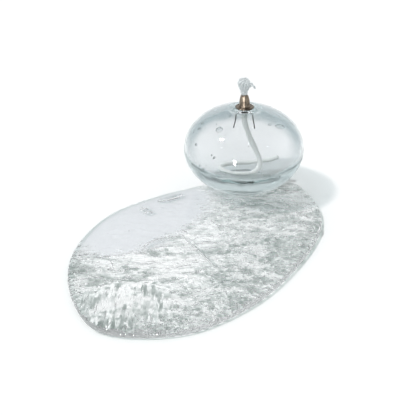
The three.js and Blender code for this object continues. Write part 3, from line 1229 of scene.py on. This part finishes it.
class OILLAMP_OT_wick_holder(bpy.types.Operator):
    """Build the brass collar and bell, the sleeve, and the steel clip with its legs"""

    bl_idname = "oil_lamp.wick_holder"
    bl_label = "Wick holder"

    def execute(self, context):
        holder = context.scene.oil_lamp_holder
        finish = context.scene.oil_lamp_finish
        brass = spun_brass(finish)
        steel = drawn_steel(finish)

        self.collar(holder, brass)
        self.bell(holder, brass)
        self.sleeve(steel)
        self.clip(holder, steel)
        return {"FINISHED"}

    def collar(self, holder, brass):
        """A flat disc with a shallow groove and a rolled rim."""
        outer = half_width("collar_disc")
        crown = half_width("wick_bell") + 0.2 * MM
        hole = 3.25 * MM
        dish = holder.collar_dish
        top = dish + holder.sheet
        groove = mix(crown, outer, 0.45)
        profile = rounded([
            (hole, dish + 0.1 * MM),
            (hole, top - 0.1 * MM),
            (hole + 0.3 * MM, top),
            (crown, top),
            (groove - 0.4 * MM, top - 0.3 * MM),
            (groove + 0.2 * MM, top - 0.36 * MM),
            (outer - 0.9 * MM, top - 0.08 * MM),
            (outer - 0.4 * MM, top),
            (outer, top - 0.4 * MM),
            (outer - 0.05 * MM, 0.25 * MM),
            (outer - 0.5 * MM, 0),
            (groove + 0.4 * MM, 0),
            (crown, dish * 0.6),
            (crown - 0.8 * MM, dish),
            (hole + 0.3 * MM, dish),
        ], 130, closed=True)[:-1]
        disc = turned("brass_collar", profile, 96, COLLAR_Z)
        finish_piece(disc, brass, "holder", "brass", "collar_disc", shadow=False)

    def bell(self, holder, brass):
        """The spun bell: a small foot, and a side that curves in to the wick's hole."""
        foot = half_width("wick_bell")
        height = BELL_TOP_Z - BELL_FOOT_Z
        hole = 2.6 * MM
        mouth = 2.7 * MM
        wall = 0.5 * MM
        skirt = foot - mouth
        section = (
            (0.93, 0.07), (0.84, 0.2), (0.79, 0.38), (0.71, 0.54), (0.58, 0.69), (0.4, 0.82),
            (0.18, 0.93),
        )
        outside = [(foot, 0.2 * MM), (foot - 0.02 * MM, 0.5 * MM)]
        outside += [(mouth + skirt * across, height * rise) for across, rise in section]
        outside += [(mouth, height - 0.25 * MM), (mouth - 0.1 * MM, height), (hole, height - 0.2 * MM)]
        inside = [(hole, height - 0.5 * MM)]
        for across, rise in reversed(section[:-1]):
            inside.append((max(mouth + skirt * across - wall, hole), height * (rise - 0.02)))
        inside += [(foot - wall, 0.15 * MM), (foot - 0.2 * MM, 0)]
        profile = rounded(outside + inside, 170, closed=True)[:-1]

        def leaned(point):
            return Vector((-math.cos(holder.turn), -math.sin(holder.turn), 0)) * point.z * holder.lean

        cone = turned("brass_bell", profile, 96, BELL_FOOT_Z, shift=leaned)
        finish_piece(cone, brass, "holder", "brass", "wick_bell", shadow=False)

    def sleeve(self, steel):
        """The sleeve under the collar, with a rolled mouth."""
        outer = half_width("wick_sleeve")
        inner = outer - 0.8 * MM
        height = highest("wick_sleeve") - SLEEVE_MOUTH_Z
        profile = rounded([
            (inner, 0.3 * MM), (mix(inner, outer, 0.5), 0), (outer, 0.3 * MM),
            (outer - 0.05 * MM, 0.9 * MM), (outer - 0.08 * MM, height * 0.5),
            (outer - 0.05 * MM, height - 0.3 * MM), (mix(inner, outer, 0.5), height),
            (inner, height - 0.3 * MM), (inner, height * 0.5),
        ], 90, closed=True)[:-1]
        pipe = turned("steel_sleeve", profile, 72, SLEEVE_MOUTH_Z)
        finish_piece(pipe, steel, "holder", "spring_steel", "wick_sleeve", shadow=False)

    def clip(self, holder, steel):
        """The clip: a rounded band round the sleeve, and two legs of round wire."""
        outer = half_width("clip_ring")
        inner = outer - 0.6 * MM
        low = lowest("clip_ring")
        height = highest("clip_ring") - low
        profile = rounded([
            (inner, 0.2 * MM), (mix(inner, outer, 0.5), 0), (outer, 0.2 * MM),
            (outer, height / 2), (outer, height - 0.2 * MM), (mix(inner, outer, 0.5), height),
            (inner, height - 0.2 * MM), (inner, height / 2),
        ], 60, closed=True)[:-1]
        band = turned("steel_clip_band", profile, 72, low)
        finish_piece(band, steel, "holder", "spring_steel", "clip_ring", shadow=False)
        across = Vector((math.cos(holder.turn), math.sin(holder.turn), 0))
        axis = Vector((LAMP_X, LAMP_Y, 0))
        top = highest("spring_leg_right")
        tip = lowest("spring_leg_right")
        centre = outer + 0.3 * MM + holder.wire
        bend = low + holder.wire
        low_corner, high_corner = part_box("spring_leg_right")
        spread = math.hypot(high_corner[0] - LAMP_X, high_corner[1] - LAMP_Y) - holder.wire
        for name, side in (("right", 1), ("left", -1)):
            route = [
                axis + across * side * centre + Vector((0, 0, top - holder.wire * 0.2)),
                axis + across * side * centre + Vector((0, 0, bend + 1 * MM)),
                axis + across * side * (centre + 0.1 * MM) + Vector((0, 0, bend - 0.3 * MM)),
                axis + across * side * mix(centre, spread, 0.45)
                + Vector((0, 0, mix(bend, tip, 0.45))),
                axis + across * side * spread + Vector((0, 0, tip + holder.wire)),
            ]
            path = curve_through(route, 60)

            def rounded_wire(along, share, end=line_length(path)):
                near = min(along, end - along) / holder.wire
                return holder.wire * math.sqrt(max(1 - max(1 - near, 0) ** 2, 0.02))

            leg = tube("steel_leg_" + name, path, 14, rounded_wire)
            finish_piece(leg, steel, "leg_" + name, "spring_steel", "spring_leg_" + name)


# ---------------------------------------------------------------------------------------------
# Wick
# ---------------------------------------------------------------------------------------------

# The wick's free length, as side and back from the lamp's axis in the holder's turned frame, and
# its rise off the bowl's floor as a share of the way up to the top.
WICK_ROUTE = (
    (0, 0, 1),
    (0, 0, 0.913),
    (2.4, 0, 0.773),
    (6.2, -0.5, 0.614),
    (10.4, -1.1, 0.461),
    (13.8, -2, 0.305),
    (15.1, -3.2, 0.188),
    (13.2, -5.2, 0.083),
    (7.6, -7.2, 0.02),
    (-0.6, -7.8, 0),
    (-9.4, -6.6, 0),
    (-17, -3, 0.004),
    (-20.9, 3, 0.008),
    (-20, 9.8, 0.003),
    (-14.6, 15.8, 0.002),
    (-6.2, 19.4, 0.002),
    (3.4, 21.2, 0),
    (13.2, 21.6, 0),
    (23, 20.8, 0),
    (32.6, 18.6, 0),
)


def wick_points(bowl, holder, wick):
    """The wick's centre line, from just under the tip's piece to its end on the bowl's floor."""
    inner = half_width("glass_bowl") - bowl.wall
    depth = bowl.height_below - bowl.floor
    top = WICK_JOIN_Z - 0.3 * MM - FOOT_Z
    clearance = 0.3 * MM
    points = []
    for side, back, rise in WICK_ROUTE:
        side *= MM
        back *= MM
        share = math.hypot(side, back) / inner
        dip = math.sqrt(1 - share ** 2)
        slope = depth * share / (inner * dip)
        rest = bowl.height_below - depth * dip + (wick.radius + clearance) * math.hypot(1, slope)
        points.append(Vector((
            LAMP_X + side * math.cos(holder.turn) - back * math.sin(holder.turn),
            LAMP_Y + side * math.sin(holder.turn) + back * math.cos(holder.turn),
            FOOT_Z + mix(rest, top, rise),
        )))
    return points


def braid_height(along, share, pitch):
    """Relief of a braid, 0 in the gaps to 1 on a strand: two sets of strands that cross."""
    strands = 6
    one = share * strands + along / pitch
    other = share * strands - along / pitch
    over = (math.floor(one) + math.floor(other)) % 2 == 0
    across, lengthways = (one, other) if over else (other, one)
    ridge = math.sin(math.pi * (across % 1)) ** 0.6
    hump = math.sin(math.pi * (lengthways % 1)) ** 0.5
    return ridge * (0.45 + 0.55 * hump)


class OILLAMP_OT_wick(bpy.types.Operator):
    """Build the braided wick, its loop in the bowl and its frayed tuft"""

    bl_idname = "oil_lamp.wick"
    bl_label = "Wick"

    def execute(self, context):
        scene = context.scene
        finish = scene.oil_lamp_finish
        # The second colour of each cotton is painted shade for the gaps between its yarns.
        braided = bleached_cotton("Braided cotton", finish.cotton, "#eeefed")
        frayed = bleached_cotton("Frayed cotton", finish.frayed, "#b9c0c2")
        self.tail(scene.oil_lamp_bowl, scene.oil_lamp_holder, scene.oil_lamp_wick, braided)
        self.tip(scene.oil_lamp_wick, frayed)
        return {"FINISHED"}

    def tail(self, bowl, holder, wick, cotton):
        """The free length, from the sleeve to its end on the bowl's floor."""
        path = curve_through(wick_points(bowl, holder, wick), 420)

        def radius_at(along, share):
            relief = braid_height(along, share, wick.strand_pitch)
            return wick.radius - wick.strand_relief * (1 - relief)

        tail = tube("wick_braid", path, 48, radius_at)
        tail.data.materials.append(cotton)
        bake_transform(tail)
        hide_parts("wick_tail")

    def tip(self, wick, cotton):
        """The wick in the holder, its waist over the bell, and the tuft of loose yarns."""
        holder = bpy.context.scene.oil_lamp_holder
        left = Vector((-math.cos(holder.turn), -math.sin(holder.turn), 0))
        low = WICK_JOIN_Z - BELL_TOP_Z
        tuft = (WICK_TOP_Z - BELL_TOP_Z) * 0.9
        width = wick.tuft_radius
        core = rounded([
            (0, low), (2.0 * MM, low), (2.25 * MM, low + 0.5 * MM), (2.25 * MM, -1 * MM),
            (2.5 * MM, tuft * 0.06), (2.3 * MM, tuft * 0.2), (width * 0.45, tuft * 0.45),
            (width * 0.5, tuft * 0.7), (width * 0.3, tuft * 0.82), (0, tuft * 0.84),
        ], 80)

        def leaned(point):
            above = max(point.z + BELL_TOP_Z - BELL_FOOT_Z, 0)
            return left * above * holder.lean

        pieces = [turned("wick_core", core, 40, BELL_TOP_Z, ends="poles", shift=leaned)]
        base = Vector((LAMP_X, LAMP_Y, BELL_TOP_Z))
        base += left * (BELL_TOP_Z - BELL_FOOT_Z) * holder.lean

        def along(turn, steps):
            """A yarn's places: each step is its reach, its height and its turn onwards."""
            places = []
            for reach, rise, onwards in steps:
                way = Vector((math.cos(turn + onwards), math.sin(turn + onwards), 0))
                places.append(base + way * reach * width + left * rise * tuft * holder.lean
                              + Vector((0, 0, rise * tuft)))
            return places

        for number in range(wick.yarns):
            turn = 2 * math.pi * number / wick.yarns
            stray = 0.5 + 0.5 * noise.noise(Vector((number * 3.7, 1.2, 0)) + Vector((0.4, 0.3, 0.2)))
            over = 0.12 * math.sin(number * 2.4)
            pieces.append(self.yarn(wick, number, along(turn, (
                (0.33, 0.05, 0), (0.4, 0.13, 0.1), (0.38, 0.24, 0.2),
                (0.6 + 0.1 * stray, 0.38, 0.3), (0.84, 0.56 + over * 0.4, 0.35),
                (0.92, 0.74 + over * 0.3, 0.3 + stray * 0.3), (0.72, 0.9 + over * 0.3, 0.4 + stray),
                (0.36, 0.9 + over * 0.4, 0.8 + stray), (0.2, 0.76, 1.2),
            ))))
        right = holder.turn
        pieces.append(self.yarn(wick, 50, along(right, (
            (0.3, 0.2, 0), (0.55, 0.36, 0.1), (0.95, 0.52, 0), (1.4, 0.6, -0.1),
            (1.76, 0.54, -0.15), (1.86, 0.38, -0.1),
        )), 0.8))
        pieces.append(self.yarn(wick, 51, along(right, (
            (0.5, 0.44, 0.3), (0.95, 0.58, 0.35), (1.3, 0.68, 0.25), (1.62, 0.62, 0.1),
        )), 0.6))
        for piece in pieces:
            piece.data.materials.append(cotton)
        yarns = join("wick_yarns", pieces)
        fuzz = scattered(
            "wick_fibres", yarns, curled_fibre, cotton, wick.fibres, (0.6 * MM, 1.5 * MM), 0.0, 8,
        )
        tip = join("wick_tuft", [yarns, fuzz])
        finish_piece(tip, cotton, "wick", "cotton", "wick_tip", shadow=False)

    def yarn(self, wick, number, places, share=1.0):
        """One plied yarn along its places, thinner at its ends."""
        path = curve_through(places, 44)
        end = line_length(path)

        def plied(distance, turn):
            twist = math.cos(2 * math.pi * (3 * turn - distance / (2.6 * MM)) + number)
            ends = min(distance, end - distance) / wick.yarn
            full = math.sqrt(max(1 - max(1 - ends, 0) ** 2, 0.03))
            return wick.yarn * share * full * (0.9 + 0.12 * twist)

        return tube("wick_yarn", path, 14, plied, uv=False)


# ---------------------------------------------------------------------------------------------
# Stage
# ---------------------------------------------------------------------------------------------

class OILLAMP_OT_stage(bpy.types.Operator):
    """Set the pale floor, the soft light and the camera"""

    bl_idname = "oil_lamp.stage"
    bl_label = "Stage"

    def execute(self, context):
        scene = context.scene
        stage = scene.oil_lamp_stage
        self.floor(scene.oil_lamp_finish)
        self.light(scene, stage)
        self.camera(scene, stage)
        scene.view_settings.view_transform = "Standard"
        # Thick clear glass needs many passes before light finds its way out again.
        scene.cycles.max_bounces = 40
        scene.cycles.transmission_bounces = 40
        scene.cycles.glossy_bounces = 40
        scene.cycles.transparent_max_bounces = 40
        return {"FINISHED"}

    def floor(self, finish):
        shape = bmesh.new()
        bmesh.ops.create_circle(shape, cap_ends=True, segments=96, radius=4)
        for vert in shape.verts:
            vert.co.z = -0.2 * MM
        bmesh.ops.recalc_face_normals(shape, faces=shape.faces)
        mesh = bpy.data.meshes.new("floor")
        shape.to_mesh(mesh)
        shape.free()
        floor = add_object("floor", mesh)
        material, tree = new_material("Matt painted board")
        paint = add_node(
            tree, "ShaderNodeBsdfPrincipled",
            values={"Base Color": linear(finish.floor), "Roughness": 0.9,
                    "Specular IOR Level": 0.1},
        )
        add_node(tree, "ShaderNodeOutputMaterial", links={"Surface": paint.outputs[0]})
        floor.data.materials.append(material)

    def light(self, scene, stage):
        lamp = bpy.data.lights.new("key_light", "SUN")
        lamp.energy = stage.sun
        lamp.angle = math.radians(4.5)
        key = bpy.data.objects.new("key_light", lamp)
        towards = Vector((0.67, 0.743, 0)) * math.cos(math.radians(56.5))
        towards.z = -math.sin(math.radians(56.5))
        key.rotation_euler = towards.to_track_quat("-Z", "Y").to_euler()
        scene.collection.objects.link(key)
        strip = bpy.data.lights.new("strip_light", "AREA")
        strip.shape = "RECTANGLE"
        strip.size = 0.05
        strip.size_y = 0.3
        strip.energy = stage.strip
        tall = bpy.data.objects.new("strip_light", strip)
        lamp_middle = Vector((LAMP_X, LAMP_Y, BELL_TOP_Z))
        turn = stage.azimuth - math.radians(90 + 16)
        way = Vector((math.cos(turn), math.sin(turn), math.tan(math.radians(9)))).normalized()
        tall.visible_diffuse = False
        tall.location = lamp_middle + way * 1.0
        tall.rotation_euler = (-way).to_track_quat("-Z", "Y").to_euler()
        scene.collection.objects.link(tall)
        world = bpy.data.worlds.new("even_fill")
        world.use_nodes = True
        world.node_tree.nodes.clear()
        # A pale sweep stands round the table; the room over it is darker.
        tree = world.node_tree
        way = add_node(tree, "ShaderNodeSeparateXYZ", links={
            "Vector": add_node(tree, "ShaderNodeTexCoord").outputs["Generated"],
        })
        sweep = ramp(tree, way.outputs["Z"], 0.45, 0.85, 2.6, 0.85)
        back = add_node(
            tree, "ShaderNodeBackground", values={"Color": (0.965, 0.985, 0.995, 1)},
            links={"Strength": sum_of(tree, "MULTIPLY", sweep, stage.sky)},
        )
        add_node(world.node_tree, "ShaderNodeOutputWorld", links={"Surface": back.outputs[0]})
        scene.world = world

    def camera(self, scene, stage):
        lens = bpy.data.cameras.new("camera")
        lens.sensor_fit = "HORIZONTAL"
        lens.angle = stage.view_angle
        eye = bpy.data.objects.new("camera", lens)
        flat = math.cos(stage.elevation)
        looking = Vector((
            -math.sin(stage.azimuth) * flat, math.cos(stage.azimuth) * flat,
            -math.sin(stage.elevation),
        ))
        eye.location = Vector(stage.aim) - looking * stage.distance
        eye.rotation_euler = looking.to_track_quat("-Z", "Y").to_euler()
        scene.collection.objects.link(eye)
        scene.camera = eye


# ---------------------------------------------------------------------------------------------
# Panel and registering
# ---------------------------------------------------------------------------------------------

OPERATORS = (
    OILLAMP_OT_stage,
    OILLAMP_OT_wick,
    OILLAMP_OT_wick_holder,
    OILLAMP_OT_bowl,
    OILLAMP_OT_plate,
)


class OILLAMP_PT_panel(bpy.types.Panel):
    """Lists the lamp's pieces and their sizes"""

    bl_idname = "OILLAMP_PT_panel"
    bl_label = "Oil Lamp"
    bl_space_type = "VIEW_3D"
    bl_region_type = "UI"
    bl_category = "Oil Lamp"

    def draw(self, context):
        for operator in OPERATORS:
            self.layout.operator(operator.bl_idname)
        for name, group in SETTINGS:
            box = self.layout.box()
            for prop in group.__annotations__:
                box.prop(getattr(context.scene, name), prop)


def register():
    for name, group in SETTINGS:
        bpy.utils.register_class(group)
        setattr(bpy.types.Scene, name, PointerProperty(type=group))
    for operator in OPERATORS:
        bpy.utils.register_class(operator)
    bpy.utils.register_class(OILLAMP_PT_panel)


def unregister():
    bpy.utils.unregister_class(OILLAMP_PT_panel)
    for operator in reversed(OPERATORS):
        bpy.utils.unregister_class(operator)
    for name, group in reversed(SETTINGS):
        delattr(bpy.types.Scene, name)
        bpy.utils.unregister_class(group)


def main():
    register()
    bpy.ops.oil_lamp.stage()
    bpy.ops.oil_lamp.wick()
    bpy.ops.oil_lamp.wick_holder()
    bpy.ops.oil_lamp.bowl()
    bpy.ops.oil_lamp.plate()


if __name__ == "__main__":
    main()
